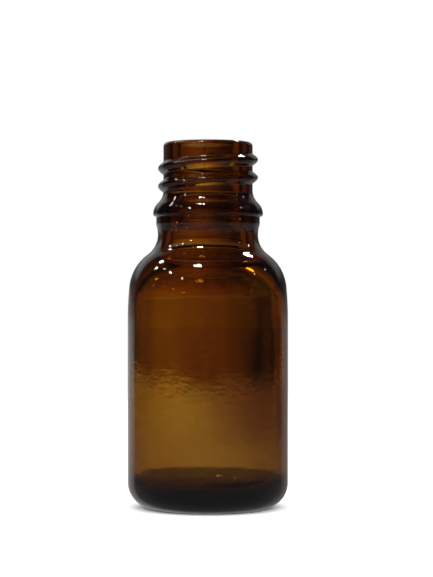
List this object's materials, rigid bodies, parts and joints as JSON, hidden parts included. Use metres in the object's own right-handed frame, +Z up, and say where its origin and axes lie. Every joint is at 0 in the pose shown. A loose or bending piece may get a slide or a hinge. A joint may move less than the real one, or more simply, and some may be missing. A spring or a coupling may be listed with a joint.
{
  "type": "ink bottle",
  "caption": "Round amber glass ink bottle with a drawn-in shoulder, a beaded screw neck and an open mouth.",
  "frame": {"origin": "centre of the flat ring the bottle stands on", "axes": "+Z up along the bottle's axis, out of the mouth; the thread's two ends are on the +Y side"},
  "size_m": [0.0286, 0.0286, 0.065],
  "materials": {
    "amber_glass": "clear dark amber soda-lime glass, fire polished, smooth and glossy"
  },
  "bodies": {
    "root": {"glass_bottle": "amber_glass"}
  },
  "joints": []
}
